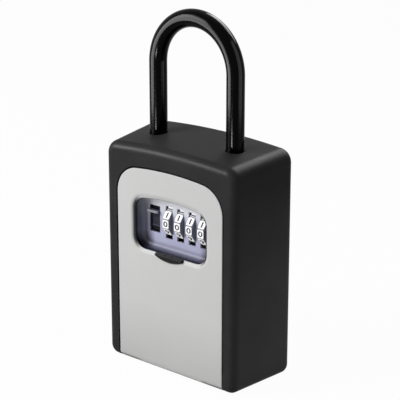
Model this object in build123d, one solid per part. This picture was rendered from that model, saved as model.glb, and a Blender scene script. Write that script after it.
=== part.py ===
"""Key lock box with a shackle, a drop-down door and four code dials.

Millimetres. X runs to the right, -Y is the front, +Z is up. The origin is the
middle of the footprint, on the surface that the box stands on.
"""
from build123d import *
from math import atan2, cos, pi, radians, sin, sqrt
import os

# ---------------------------------------------------------------- case
FRONT_Y = -20.0          # front face of the case and of the door
BACK_Y = 20.0            # face that goes against a wall
CASE_HALF = 40.0         # half width of the front section
CASE_TOP = 112.1         # height of the front section in the middle of its arched top
ARCH_R = 400.0           # radius of the arched top
SIDE_DRAFT = 0.09        # growth of each side towards the back, per mm of depth
TOP_DRAFT = 0.08         # growth of the top towards the back, per mm of depth
TOP_CORNER = 6.7
BOTTOM_CORNER = 5.0
FRONT_ROUND = 4.0
BACK_ROUND = 4.5
WALL = 2.4
FLANGE_Y = 15.0          # inner face of the flange that the back plate is screwed to
PLATE_Y = 17.6           # inner face of the back plate
FLANGE_INSET = 9.5       # from the back outline to the edge of the flange
PLATE_INSET = 5.5        # from the back outline to the edge of the back plate's seat
FIT_GAP = 0.15           # between pieces that drop into one another

# ---------------------------------------------------------------- door
PANEL_HALF = 32.6
PANEL_SHOULDER = 98.5
PANEL_SAG = 3.0
PANEL_CORNER = 13.5
PANEL_THICK = 1.5
DOOR_GAP = 0.75          # dark line between the door and the case
HINGE_Y = FRONT_Y + FRONT_ROUND
HINGE_Z = FRONT_ROUND
HINGE_CLEAR = 0.35       # between the rolled foot of the door and the case floor
PIN_R = 1.25
KNUCKLE_R = 2.35
KNUCKLE_IN = 24.0        # inner end of each knuckle
KNUCKLE_OUT = 32.5
EAR_IN = 33.4
EAR_OUT = 37.2
FRAME_HALF = 30.4
FRAME_BOTTOM = 8.0
FRAME_SHOULDER = 92.4
FRAME_SAG = 2.8
FRAME_CORNER = 11.5
FRAME_WALL = 1.8
FRAME_BACK_Y = 0.6
REAR_COVER_THICK = 1.2

# ---------------------------------------------------------------- window, bezel and shutter
WINDOW_HALF = 22.0
WINDOW_BOTTOM = 60.7
WINDOW_SHOULDER = 84.9
WINDOW_SAG = 2.6
WINDOW_CORNER = 6.0
DISH_WIDTH = 2.0         # width of the sloping rim round the window
DISH_DEPTH = 1.0
DISH_ROUND = 2.2         # soft shoulder between the rim and the face of the door
BEZEL_Y = FRONT_Y + 2.85
BEZEL_FLOOR_Y = FRONT_Y + 6.4
BEZEL_THICK = 1.2
BEZEL_FLOOR_THICK = 0.9
SHUTTER_FRONT_Y = FRONT_Y + 1.6
SHUTTER_BACK_Y = FRONT_Y + 2.7
SHUTTER_HALF = 23.2
SHUTTER_BOTTOM = 31.7
TAB_HALF = 8.4
TAB_DROP = 2.9           # depth of the finger tab below the window's lower edge
TAB_PROUD = 0.9          # how far the tab stands out of the door
RAIL_WIDTH = 1.4

# ---------------------------------------------------------------- dials and lock work
DIAL_COUNT = 4
DIAL_FIRST_X = -5.3
DIAL_PITCH = 7.2
DIAL_WIDTH = 3.9
DIAL_Y = -9.1
DIAL_Z = 74.65
DIAL_FLAT_R = 7.1        # from the axle to a number flat
DIGITS = 10
GROOVE_R = 0.5           # finger groove between two number flats
SLOT_HALF = 2.2
SLOT_Z = (66.4, 81.9)
SLOT_STEP = 0.85         # how much higher the left side of each slot ends
AXLE_R = 1.5
CAM_BORE_R = 1.55
CAM_ROOT_R = 2.3
CAM_TIP_R = 3.4
CAM_TOOTH = 0.6
RING_LAND_R = 2.45
RING_GROOVE_R = 3.5
RING_BORE_R = 3.6
SPLINE_START = 0.6       # start of the splines, from the middle of the ring
CAM_END = 4.4            # right end of a cam, from the middle of its ring
CAM_SHIFT = 1.8          # travel of the reset lever and of the cams
FINGER_START = 2.8
FINGER_WIDTH = 1.2
FINGER_GAP = 0.15
BOLT_Y = DIAL_Y
BOLT_THICK = 0.7
BOLT_BAR_Z = (84.6, 88.6)
BOLT_LEFT = -18.2
BOLT_RIGHT = 21.4
NOSE_HALF = 7.0
NOSE_TOP = 101.2
BUTTON_X = (-16.5, -11.25)
LIP_X = (-17.35, -11.25)
BUTTON_SUNK = 0.8        # how deep the ribbed face lies behind the bezel's floor
BUTTON_Z = (71.0, 79.4)
BUTTON_SLOT_X = (-17.65, -10.95)
BUTTON_SLOT_Z = (68.1, 81.6)
LIP_PROUD = 2.0
RIB_PITCH = 0.8
SHELF_Z = (61.5, 63.3)
RIB_LEFT_X = (-11.9, -10.6)
RIB_RIGHT_X = (24.2, 25.8)
FORK_X = (-10.5, -9.5)

# ---------------------------------------------------------------- shackle
LEG_X = 23.6
SHACKLE_R = 4.3
CORE_R = 3.7
ARCH_Z = 147.9           # height of the centre of the bend
LEG_END_Z = 99.6
COATING_END_Z = 110.45
NOTCH_Z = (102.2, 104.6)
WAIST = 2.5              # half width left between a leg's two notches
BUSH_R = 5.2
BUSH_BORE_R = 3.76
BUSH_Z = (105.0, 110.4)
LOCK_Z = (102.6, 104.2)
LOCK_SHIFT = 3.0
CEILING_Z = (97.5, 99.0)
CEILING_FRONT_Y = -7.4


# ---------------------------------------------------------------- helpers
def facing_front(y):
    """Plane at depth y, drawn in X and Z, with its normal towards the front."""
    return Plane(origin=(0, y, 0), x_dir=(1, 0, 0), z_dir=(0, -1, 0))


def facing_right(x):
    """Plane at width x, drawn in Y and Z, with its normal to the right."""
    return Plane(origin=(x, 0, 0), x_dir=(0, 1, 0), z_dir=(1, 0, 0))


def slab(face, y_front, y_back):
    """Front-view outline made solid between two depths."""
    return extrude(facing_front(y_back) * face, amount=y_back - y_front, dir=(0, -1, 0))


def bar(face, x_left, x_right):
    """Side-view outline made solid between two widths."""
    return extrude(facing_right(x_left) * face, amount=x_right - x_left, dir=(1, 0, 0))


def block(x, y, z):
    """Box between two corners, each argument a (low, high) pair."""
    size = [high - low for low, high in (x, y, z)]
    middle = [(high + low) / 2 for low, high in (x, y, z)]
    return Pos(*middle) * Box(*size)


def round_x(radius, x_left, x_right, y, z):
    """Cylinder along X."""
    return bar(Pos(y, z) * Circle(radius), x_left, x_right)


def round_y(radius, y_front, y_back, x, z):
    """Cylinder along Y."""
    return slab(Pos(x, z) * Circle(radius), y_front, y_back)


def round_z(radius, z_low, z_high, x, y):
    """Cylinder along Z."""
    return Pos(x, y, (z_low + z_high) / 2) * Cylinder(radius, z_high - z_low)


def arched_face(half, bottom, shoulder, sag, top_corner, bottom_corner):
    """Rounded rectangle whose top is one flat arc through its two shoulders."""
    arch_r = (half**2 + sag**2) / (2 * sag)
    arch_z = shoulder + sag - arch_r
    corner_x = half - top_corner
    corner_z = arch_z + sqrt((arch_r - top_corner) ** 2 - corner_x**2)
    turn = atan2(corner_z - arch_z, corner_x)
    touch_x = arch_r * cos(turn)
    touch_z = arch_z + arch_r * sin(turn)
    mid_x = corner_x + top_corner * cos(turn / 2)
    mid_z = corner_z + top_corner * sin(turn / 2)
    low = bottom + bottom_corner
    edges = [Line((half, low), (half, corner_z))]
    edges.append(ThreePointArc((half, corner_z), (mid_x, mid_z), (touch_x, touch_z)))
    edges.append(ThreePointArc((touch_x, touch_z), (0, shoulder + sag), (-touch_x, touch_z)))
    edges.append(ThreePointArc((-touch_x, touch_z), (-mid_x, mid_z), (-half, corner_z)))
    edges.append(Line((-half, corner_z), (-half, low)))
    if bottom_corner:
        inner = half - bottom_corner
        lean = bottom_corner * (1 - cos(pi / 4))
        edges.append(ThreePointArc((-half, low), (-half + lean, bottom + lean), (-inner, bottom)))
        edges.append(Line((-inner, bottom), (inner, bottom)))
        edges.append(ThreePointArc((inner, bottom), (half - lean, bottom + lean), (half, low)))
    else:
        edges.append(Line((-half, bottom), (half, bottom)))
    return Face(Wire(edges))


def case_half(y):
    """Half width of the case at depth y."""
    return CASE_HALF + SIDE_DRAFT * (y - FRONT_Y)


def case_face(y, inset):
    """Outline of the case at depth y, moved inwards by inset."""
    half = case_half(y) - inset
    sag = ARCH_R - inset - sqrt((ARCH_R - inset) ** 2 - half**2)
    shoulder = CASE_TOP + TOP_DRAFT * (y - FRONT_Y) - inset - sag
    top_corner = max(TOP_CORNER - inset, 2.5)
    return arched_face(half, inset, shoulder, sag, top_corner, max(BOTTOM_CORNER - inset, 1.5))


def case_block(y_front, y_back, inset=0.0):
    """Block between two depths: flat floor, drafted sides, arched and drafted top."""
    front, back = case_half(y_front) - inset, case_half(y_back) - inset
    corners = [(-front, y_front), (front, y_front), (back, y_back), (-back, y_back)]
    plan = Face(Wire(Polyline(*corners, close=True).edges()))
    walls = extrude(Pos(0, 0, inset) * plan, amount=CASE_TOP + 20, dir=(0, 0, 1))
    axis_z = CASE_TOP - ARCH_R * sqrt(1 + TOP_DRAFT**2)
    axis = Plane(origin=(0, FRONT_Y, axis_z), x_dir=(1, 0, 0), z_dir=(0, 1, TOP_DRAFT))
    body = walls & (axis * Cylinder(ARCH_R - inset, 200))
    top = [edge for edge in body.edges() if abs((edge % 0.5).Y) > 0.9 and edge.center().Z > CASE_TOP / 2]
    body = fillet(top, max(TOP_CORNER - inset, 2.5))
    floor = [edge for edge in body.edges() if abs((edge % 0.5).Y) > 0.9 and edge.center().Z < CASE_TOP / 2]
    return fillet(floor, max(BOTTOM_CORNER - inset, 1.5))


def edges_at_y(shape, y):
    """Edges that lie wholly in the plane at depth y."""
    return shape.edges().filter_by_position(Axis.Y, y - 0.01, y + 0.01)


def coil(radius, wire_r, length, turns):
    """Compression spring along +Z from the origin, its ends level with the wire's middle."""
    path = Helix(pitch=length / turns, height=length, radius=radius)
    start = Plane(origin=path @ 0, z_dir=path % 0)
    return sweep(start * RegularPolygon(wire_r, 6), path=path)


def screw(shank_r, length, head_r, head_height):
    """Pan-head screw along +Z: its head stands below the origin, its shank above."""
    profile = Pos(0, 0, length / 2) * Cylinder(shank_r, length)
    head = Pos(0, 0, -head_height / 2) * Cylinder(head_r, head_height)
    head = chamfer(head.edges().sort_by(Axis.Z)[0], head_height * 0.4)
    slot = Pos(0, 0, -head_height) * Box(head_r * 1.3, head_r * 0.3, head_height)
    return profile + head - slot - Rot(0, 0, 90) * slot


SCREW_TO_BACK = Rot(-90, 0, 0)    # turns +Z into +Y
SCREW_TO_FRONT = Rot(90, 0, 0)    # turns +Z into -Y


def save(name, *shapes):
    """Write one sub-part, as all of its solids, to its own STEP file."""
    solids = [solid for shape in shapes for solid in shape.solids()]
    export_step(Compound(children=solids), f"parts/{name}.step")


# ---------------------------------------------------------------- case pieces
CASE_SCREWS = [(side * 36.2, z) for side in (-1, 1) for z in (14.0, 92.0)]
KEEPER_SCREWS = [(side * 9.0, 107.2) for side in (-1, 1)]
CEILING_SCREWS = [(side * 14.5, 10.6) for side in (-1, 1)]
WALL_HOLES = [(side * 20.0, z) for side in (-1, 1) for z in (30.0, 85.0)]
WALL_HOLE_R = 2.3


def door_opening(gap):
    """Outline of the door, widened by gap and open at the foot."""
    return arched_face(
        PANEL_HALF + gap, -5.0, PANEL_SHOULDER + gap, PANEL_SAG, PANEL_CORNER + gap, 0
    )


def case_cover():
    """Drafted shell: front frame, sides, top and floor, hinge ears and inner bosses."""
    outer = case_block(FRONT_Y, BACK_Y)
    outer = fillet(edges_at_y(outer, BACK_Y), BACK_ROUND)
    outer = fillet(edges_at_y(outer, FRONT_Y), FRONT_ROUND)
    shell = outer - case_block(FRONT_Y + WALL, FLANGE_Y, WALL)
    back = case_face(BACK_Y, FLANGE_INSET)
    shell -= slab(back, FLANGE_Y - 1, PLATE_Y + 1)
    shell -= slab(case_face(BACK_Y, PLATE_INSET), PLATE_Y, BACK_Y + 1)
    bosses = [round_z(6.9, 105.6, 111.6, side * LEG_X, 0) for side in (-1, 1)]
    bosses += [round_z(2.8, CEILING_Z[1], 113.0, x, y) for x, y in CEILING_SCREWS]
    bosses += [round_y(2.7, FRONT_Y + 1, FRONT_Y + 6.4, x, z) for x, z in KEEPER_SCREWS]
    for side in (-1, 1):
        ear_x = sorted((side * EAR_IN, side * EAR_OUT))
        ear = round_x(3.2, *ear_x, HINGE_Y, HINGE_Z)
        ear += block(ear_x, (FRONT_Y + 1, HINGE_Y), (1.0, HINGE_Z + 3.2))
        ear += block(ear_x, (HINGE_Y, HINGE_Y + 3.2), (1.0, HINGE_Z))
        bosses.append(ear & outer)
    for boss in bosses:
        shell += boss
    shell -= slab(door_opening(DOOR_GAP), FRONT_Y - 1, FRONT_Y + WALL + 0.1)
    half = PANEL_HALF + DOOR_GAP
    shell -= round_x(FRONT_ROUND + HINGE_CLEAR, -half, half, HINGE_Y, HINGE_Z)
    shell -= block((-half, half), (FRONT_Y - 1, HINGE_Y), (-1, WALL + 3))
    shell -= round_x(PIN_R + 0.02, -EAR_OUT + 0.5, EAR_OUT - 0.5, HINGE_Y, HINGE_Z)
    for side in (-1, 1):
        shell -= round_z(SHACKLE_R + 0.3, BUSH_Z[1] - 0.1, 130, side * LEG_X, 0)
        shell -= round_z(BUSH_R, 100, BUSH_Z[1], side * LEG_X, 0)
    for x, y in CEILING_SCREWS:
        shell -= round_z(1.25, CEILING_Z[1] - 1, CEILING_Z[1] + 8, x, y)
    for x, z in KEEPER_SCREWS:
        shell -= round_y(1.05, FRONT_Y + 2.6, FRONT_Y + 7, x, z)
    for x, z in CASE_SCREWS:
        shell -= round_y(1.6, FLANGE_Y - 1, PLATE_Y + 0.5, x, z)
    return shell


def back_plate():
    """Plate that closes the back, with four wall-screw holes countersunk inside."""
    plate = slab(case_face(BACK_Y, PLATE_INSET + FIT_GAP), PLATE_Y, BACK_Y)
    for x, z in WALL_HOLES:
        plate -= round_y(WALL_HOLE_R, PLATE_Y - 1, BACK_Y + 1, x, z)
        sink = Pos(x, PLATE_Y + 0.6, z) * Rot(-90, 0, 0) * Cone(4.3, WALL_HOLE_R, 1.2)
        plate -= sink
    for x, z in CASE_SCREWS:
        plate -= round_y(1.4, PLATE_Y - 1, BACK_Y - 0.7, x, z)
    return plate


def case_screws():
    return [Pos(x, FLANGE_Y, z) * SCREW_TO_BACK * screw(1.4, 4.2, 2.3, 1.5) for x, z in CASE_SCREWS]


def keeper():
    """Bent steel strip whose lip the latch bolt rises behind."""
    points = [(-13.6, 103.6), (-13.6, 109.2), (-12.4, 109.2), (-12.4, 104.8)]
    points += [(-10.0, 104.8), (-10.0, 101.7), (-11.2, 101.7), (-11.2, 103.6)]
    strip = bar(Face(Wire(Polyline(*points, close=True).edges())), -12.0, 12.0)
    for x, z in KEEPER_SCREWS:
        strip -= round_y(1.3, -14, -12, x, z)
    return strip


def keeper_screws():
    return [Pos(x, -12.4, z) * SCREW_TO_FRONT * screw(1.0, 4.4, 1.8, 1.0) for x, z in KEEPER_SCREWS]


def mechanism_cover():
    """Ceiling of the key compartment, over it the shackle lock."""
    wall_half = case_half(CEILING_FRONT_Y) - WALL
    half = wall_half - 0.6
    sheet = block((-half, half), (CEILING_FRONT_Y, FLANGE_Y - 0.1), CEILING_Z)
    sheet = fillet(sheet.edges().filter_by(Axis.Z), 2.0)
    for side in (-1, 1):
        sheet += block(sorted((side * 9.5, side * 12.5)), (-5, 5), (CEILING_Z[1] - 0.5, LOCK_Z[0] - 0.1))
    sheet -= block((-4.4, 7.4), (1.6, 8.4), (CEILING_Z[0] - 1, CEILING_Z[1] + 1))
    for x, y in CEILING_SCREWS:
        sheet -= round_z(1.6, CEILING_Z[0] - 1, CEILING_Z[1] + 1, x, y)
    return sheet


def mechanism_cover_screws():
    return [Pos(x, y, CEILING_Z[0]) * screw(1.25, 7.0, 2.4, 1.4) for x, y in CEILING_SCREWS]


def shackle_bushes():
    """Flanged guides that the shackle's legs run in."""
    bushes = []
    for side in (-1, 1):
        bush = round_z(BUSH_R, *BUSH_Z, side * LEG_X, 0)
        bush += round_z(6.3, BUSH_Z[0], 105.6, side * LEG_X, 0)
        bushes.append(bush - round_z(BUSH_BORE_R, 100, 120, side * LEG_X, 0))
    return bushes


def hinge_pins():
    ends = [sorted((side * (KNUCKLE_IN + 0.5), side * (EAR_OUT - 0.6))) for side in (-1, 1)]
    return [round_x(PIN_R, *x, HINGE_Y, HINGE_Z) for x in ends]


# ---------------------------------------------------------------- shackle and its lock
def shackle_path(z_end):
    """Centre line of the shackle: two straight legs and half a circle."""
    up = Line((-LEG_X, 0, z_end), (-LEG_X, 0, ARCH_Z))
    over = ThreePointArc((-LEG_X, 0, ARCH_Z), (0, 0, ARCH_Z + LEG_X), (LEG_X, 0, ARCH_Z))
    down = Line((LEG_X, 0, ARCH_Z), (LEG_X, 0, z_end))
    return Wire([up, over, down])


def shackle_core():
    """Steel rod with a pair of lock notches near the end of each leg."""
    section = Plane(origin=(-LEG_X, 0, LEG_END_Z), z_dir=(0, 0, 1)) * Circle(CORE_R)
    rod = sweep(section, path=shackle_path(LEG_END_Z))
    for x in (-LEG_X, LEG_X):
        for y in ((WAIST, 6.0), (-6.0, -WAIST)):
            rod -= block((x - 6, x + 6), y, NOTCH_Z)
    tips = rod.edges().filter_by_position(Axis.Z, LEG_END_Z - 0.01, LEG_END_Z + 0.01)
    return chamfer(tips, 0.8)


def shackle_coating():
    """Plastic sleeve over the part of the rod that shows."""
    start = Plane(origin=(-LEG_X, 0, COATING_END_Z), z_dir=(0, 0, 1))
    ring = Circle(SHACKLE_R) - Circle(CORE_R)
    return sweep(start * ring, path=shackle_path(COATING_END_Z))


def shackle_lock_plate():
    """Sliding plate with two keyholes: round parts free the legs, narrow parts hold them."""
    plate = block((-31.4, 31.0), (-6.0, 6.0), LOCK_Z)
    plate = fillet(plate.edges().filter_by(Axis.Z), 1.5)
    for x in (-LEG_X, LEG_X):
        plate -= round_z(CORE_R + 0.2, 100, 110, x, 0)
        plate -= block((x - 7.0, x), (-WAIST - 0.1, WAIST + 0.1), (100, 110))
    plate += block((-3.0, 3.0), (5.5, 7.6), LOCK_Z)
    return plate


def shackle_release_tab():
    """Thumb button under the ceiling that slides the lock plate."""
    tab = block((-3.6, 3.6), (2.0, 7.8), (95.4, LOCK_Z[0]))
    tab = fillet(tab.edges().filter_by(Axis.Z), 1.0)
    for step in range(4):
        x = -2.4 + 1.6 * step
        tab -= block((x - 0.3, x + 0.3), (1, 9), (95.0, 95.7))
    return tab


def shackle_lock_spring():
    wall_x = case_half(0) - WALL
    length = wall_x - 31.4 - 1.0
    middle_z = (LOCK_Z[0] + LOCK_Z[1]) / 2
    return Pos(-wall_x + 0.45, 0, middle_z) * Rot(0, 90, 0) * coil(1.9, 0.3, length, 5)


# ---------------------------------------------------------------- door pieces
PANEL_SCREWS = [(side * 25.6, 16.0) for side in (-1, 1)] + [(side * 15.0, 90.3) for side in (-1, 1)]
COVER_SCREWS = [(side * 26.6, z) for side in (-1, 1) for z in (24.0, 82.0)]
BOSS_Y = -13.4
LUG_Y = -11.8


def window_face(grow=0.0):
    return arched_face(
        WINDOW_HALF + grow, WINDOW_BOTTOM - grow, WINDOW_SHOULDER + grow,
        WINDOW_SAG, WINDOW_CORNER + grow, WINDOW_CORNER + grow,
    )


def tab_face(grow=0.0):
    """Crescent of the finger tab: straight top, bowed foot."""
    half = TAB_HALF + grow
    top = WINDOW_BOTTOM - 0.1
    side_z = top - 1.0 - grow
    foot = top - TAB_DROP - grow
    edges = [Line((half, top), (-half, top)), Line((-half, top), (-half, side_z))]
    edges.append(ThreePointArc((-half, side_z), (0, foot), (half, side_z)))
    edges.append(Line((half, side_z), (half, top)))
    return Face(Wire(edges))


def door_panel():
    """Front sheet of the door with its window, rolled under at the foot round the hinge."""
    face = arched_face(PANEL_HALF, HINGE_Z, PANEL_SHOULDER, PANEL_SAG, PANEL_CORNER, 0)
    back_y = FRONT_Y + PANEL_THICK
    sheet = slab(face, FRONT_Y, back_y)
    roll = Pos(HINGE_Y, HINGE_Z) * (Circle(FRONT_ROUND) - Circle(FRONT_ROUND - PANEL_THICK))
    roll &= Pos(HINGE_Y - 5, HINGE_Z - 5) * Rectangle(10, 10)
    sheet += bar(roll, -PANEL_HALF, PANEL_HALF)
    sheet = fillet(edges_at_y(sheet, FRONT_Y).filter_by_position(Axis.Z, 5, 200), 0.45)
    brim = facing_front(FRONT_Y) * window_face(DISH_WIDTH)
    throat = facing_front(FRONT_Y + DISH_DEPTH) * window_face()
    sheet -= loft([brim, throat], ruled=True)
    sheet -= slab(window_face(), FRONT_Y - 1, back_y + 1)
    reach = WINDOW_HALF + DISH_WIDTH + 0.1
    shoulder = edges_at_y(sheet, FRONT_Y).filter_by_position(Axis.X, -reach, reach)
    shoulder = shoulder.filter_by_position(Axis.Z, WINDOW_BOTTOM - 3, WINDOW_SHOULDER + 6)
    sheet = fillet(shoulder, DISH_ROUND)
    notch = slab(tab_face(0.3), FRONT_Y - 1, back_y + 1)
    sheet -= notch + Pos(0, 0, 1.0) * notch
    for side in (-1, 1):
        rail_x = sorted((side * (SHUTTER_HALF + 0.2), side * (SHUTTER_HALF + 0.2 + RAIL_WIDTH)))
        sheet += block(rail_x, (back_y, BEZEL_Y), (30.0, 89.4))
        stop_x = sorted((side * 10.0, side * (SHUTTER_HALF + 0.2)))
        sheet += block(stop_x, (back_y, BEZEL_Y), (29.8, 31.5))
    sheet += block((-SHUTTER_HALF, SHUTTER_HALF), (back_y, BEZEL_Y), (88.0, 89.4))
    for x, z in PANEL_SCREWS:
        sheet += round_y(2.0, back_y, BOSS_Y, x, z)
        sheet -= round_y(1.05, FRONT_Y + 2.4, BOSS_Y + 1, x, z)
    return sheet


def frame_face(inset=0.0):
    return arched_face(
        FRAME_HALF - inset, FRAME_BOTTOM + inset, FRAME_SHOULDER - inset,
        FRAME_SAG, FRAME_CORNER - inset, max(2.5 - inset, 0.7),
    )


def bezel_face():
    """Outline of the bezel's flange."""
    return arched_face(27.8, 56.3, 86.3, 3.2, 7.0, 4.0)


def door_frame():
    """Cast tray behind the panel: rim, knuckles, shelf, axle ribs, bolt guides and lugs."""
    front_y = FRONT_Y + PANEL_THICK
    prism = slab(frame_face(), front_y, FRAME_BACK_Y)
    hollow = slab(frame_face(FRAME_WALL), front_y - 1, FRAME_BACK_Y + 1)
    frame = prism - hollow
    inner_half = FRAME_HALF - FRAME_WALL + 0.5
    inside = block((-inner_half, inner_half), (BEZEL_FLOOR_Y + 1.3, FRAME_BACK_Y), SHELF_Z)
    for x in (RIB_LEFT_X, RIB_RIGHT_X):
        inside += block(x, (BEZEL_FLOOR_Y + 1.7, FRAME_BACK_Y), (SHELF_Z[0], 80.0))
    guide_y = (BOLT_Y - 1.7, BOLT_Y + 1.9)
    inside += block((-20.6, -17.5), guide_y, (SHELF_Z[0], 96))
    inside += block((20.8, 25.8), guide_y, (79.0, 96))
    inside -= block((BOLT_LEFT - 0.1, BOLT_RIGHT + 0.1), (BOLT_Y - 0.6, BOLT_Y + 0.6), (64.5, 93.4))
    for side in (-1, 1):
        ledge = sorted((side * 25.6, side * inner_half))
        inside += block(ledge, (BEZEL_Y + BEZEL_THICK, BOSS_Y), (58.0, 80.0))
    for x, z in COVER_SCREWS:
        inside += round_y(2.3, LUG_Y, FRAME_BACK_Y, x, z)
        wall = sorted((x, x + (3.0 if x > 0 else -3.0)))
        inside += block(wall, (LUG_Y, FRAME_BACK_Y), (z - 1.6, z + 1.6))
    for x, z in PANEL_SCREWS:
        inside += round_y(2.3, BOSS_Y, LUG_Y, x, z)
        if z > 50:
            inside += block((x - 2.2, x + 2.2), (BOSS_Y, LUG_Y), (z, 94.0))
        else:
            inside += block(sorted((x, x + (4.0 if x > 0 else -4.0))), (BOSS_Y, LUG_Y), (z - 2.4, z + 2.4))
    frame += inside & prism
    frame -= block((-NOSE_HALF - 0.4, NOSE_HALF + 0.4), (BOLT_Y - 0.9, BOLT_Y + 0.9), (92, 98))
    frame -= block((FORK_X[0] - 0.3, FORK_X[1] + CAM_SHIFT + 0.2), (-12.6, -0.8), (SHELF_Z[0] - 1, SHELF_Z[1] + 1))
    for side in (-1, 1):
        span = sorted((side * KNUCKLE_IN, side * KNUCKLE_OUT))
        web = sorted((side * KNUCKLE_IN, side * (FRAME_HALF - 0.2)))
        frame += round_x(KNUCKLE_R, *span, HINGE_Y, HINGE_Z)
        frame += block(web, (front_y, HINGE_Y + 1.6), (HINGE_Z, FRAME_BOTTOM + 1.0))
    frame -= round_x(PIN_R + 0.05, -KNUCKLE_OUT - 1, KNUCKLE_OUT + 1, HINGE_Y, HINGE_Z)
    frame -= round_x(AXLE_R, RIB_LEFT_X[0] - 1, RIB_RIGHT_X[1] + 1, DIAL_Y, DIAL_Z)
    for x, z in COVER_SCREWS:
        frame -= round_y(1.05, FRAME_BACK_Y - 7, FRAME_BACK_Y + 1, x, z)
    for x, z in PANEL_SCREWS:
        frame -= round_y(1.3, BOSS_Y - 1, LUG_Y + 1, x, z)
    return frame


def door_rear_cover():
    """Sheet that closes the lock work from behind, with the reset lever's slot."""
    sheet = slab(frame_face(), FRAME_BACK_Y, FRAME_BACK_Y + REAR_COVER_THICK)
    sheet = fillet(edges_at_y(sheet, FRAME_BACK_Y + REAR_COVER_THICK), 0.5)
    sheet -= block((-10.3, -4.0), (FRAME_BACK_Y - 1, FRAME_BACK_Y + 3), (54.3, 58.7))
    for x, z in COVER_SCREWS:
        sheet -= round_y(1.4, FRAME_BACK_Y - 1, FRAME_BACK_Y + 3, x, z)
    return sheet


def panel_screws():
    return [Pos(x, LUG_Y, z) * SCREW_TO_FRONT * screw(1.0, 5.0, 1.8, 1.2) for x, z in PANEL_SCREWS]


def rear_cover_screws():
    y = FRAME_BACK_Y + REAR_COVER_THICK
    return [Pos(x, y, z) * SCREW_TO_FRONT * screw(1.0, 6.0, 2.0, 1.0) for x, z in COVER_SCREWS]


def dial_centres():
    return [DIAL_FIRST_X + DIAL_PITCH * i for i in range(DIAL_COUNT)]


def dial_bezel():
    """Dished insert behind the window, with slots for the dials and the release button."""
    flange = slab(bezel_face(), BEZEL_Y, BEZEL_Y + BEZEL_THICK)
    cup = slab(window_face(BEZEL_THICK), BEZEL_Y, BEZEL_FLOOR_Y + BEZEL_FLOOR_THICK)
    well = slab(window_face(), BEZEL_Y - 1, BEZEL_FLOOR_Y)
    well = fillet(edges_at_y(well, BEZEL_FLOOR_Y), 2.2)
    bezel = flange + cup - well
    slot_y = (BEZEL_FLOOR_Y - 1, BEZEL_FLOOR_Y + 3)
    for x in dial_centres():
        bezel -= block((x - SLOT_HALF, x + SLOT_HALF), slot_y, SLOT_Z)
        bezel -= block((x - SLOT_HALF, x - 0.4), slot_y, (SLOT_Z[0], SLOT_Z[1] + SLOT_STEP))
    bezel -= block(BUTTON_SLOT_X, slot_y, BUTTON_SLOT_Z)
    for x, z in PANEL_SCREWS:
        bezel -= round_y(2.2, BEZEL_Y - 1, BEZEL_Y + BEZEL_THICK, x, z)
    return bezel


def dial_shutter():
    """Dust cover that slides up over the dials, with a finger tab through the window."""
    top = WINDOW_BOTTOM - 0.1
    sheet = slab(
        arched_face(SHUTTER_HALF, SHUTTER_BOTTOM, top - WINDOW_SAG, WINDOW_SAG, 1.0, 1.0),
        SHUTTER_FRONT_Y, SHUTTER_BACK_Y,
    )
    tab = slab(tab_face(), FRONT_Y - TAB_PROUD, SHUTTER_FRONT_Y + 0.3)
    tab = fillet(edges_at_y(tab, FRONT_Y - TAB_PROUD), 0.5)
    for x in (-2.3, 2.3):
        tab += Pos(x, FRONT_Y - 0.1, top) * Sphere(0.4)
    return sheet + tab


# ---------------------------------------------------------------- dials and lock work
def about_axle(angle):
    """Placement turned about the axle; 0 points straight up."""
    return Pos(DIAL_Y, DIAL_Z) * Rot(0, 0, angle)


def dial_ring(x):
    """Ten-sided number ring: grooves between the flats outside, splines inside."""
    flats = RegularPolygon(DIAL_FLAT_R, DIGITS, major_radius=False, rotation=18)
    ring = bar(Pos(DIAL_Y, DIAL_Z) * flats, x - DIAL_WIDTH / 2, x + DIAL_WIDTH / 2)
    vertex_r = DIAL_FLAT_R / cos(pi / DIGITS)
    step = 360 / DIGITS
    grooves = Sketch()
    splines = Circle(RING_LAND_R)
    for digit in range(DIGITS):
        half_turn = radians(step * (digit + 0.5))
        grooves += Pos(vertex_r * cos(half_turn), vertex_r * sin(half_turn)) * Circle(GROOVE_R)
        splines += Rot(0, 0, step * digit) * Pos(0, RING_GROOVE_R / 2) * Rectangle(CAM_TOOTH + 0.2, RING_GROOVE_R)
    ring -= bar(Pos(DIAL_Y, DIAL_Z) * grooves, x - 5, x + 5)
    ring -= bar(Pos(DIAL_Y, DIAL_Z) * Circle(RING_BORE_R), x - 5, x + SPLINE_START)
    ring -= bar(Pos(DIAL_Y, DIAL_Z) * splines, x, x + 5)
    return ring


def code_cam(x, hub_left):
    """Sleeve on the axle with nine teeth; the missing one is the gate for the bolt's finger."""
    cam = round_x(CAM_ROOT_R, hub_left, x + CAM_END, DIAL_Y, DIAL_Z)
    step = 360 / DIGITS
    teeth = Sketch()
    for digit in range(1, DIGITS):
        tooth = Pos(0, (CAM_TIP_R + 2) / 2) * Rectangle(CAM_TOOTH, CAM_TIP_R - 2)
        teeth += Rot(0, 0, step * digit) * tooth
    cam += bar(Pos(DIAL_Y, DIAL_Z) * teeth, x + SPLINE_START, x + CAM_END)
    return cam - round_x(CAM_BORE_R, hub_left - 1, x + CAM_END + 1, DIAL_Y, DIAL_Z)


def dial_axle():
    return round_x(AXLE_R, RIB_LEFT_X[0], RIB_RIGHT_X[1] + 1.4, DIAL_Y, DIAL_Z)


def axle_clip():
    """Retaining clip on the free end of the axle, open on one side."""
    x = RIB_RIGHT_X[1] + 0.1
    clip = round_x(3.0, x, x + 0.6, DIAL_Y, DIAL_Z) - round_x(AXLE_R, x - 1, x + 2, DIAL_Y, DIAL_Z)
    return clip - block((x - 1, x + 2), (DIAL_Y - 0.9, DIAL_Y + 0.9), (DIAL_Z - 5, DIAL_Z))


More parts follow.
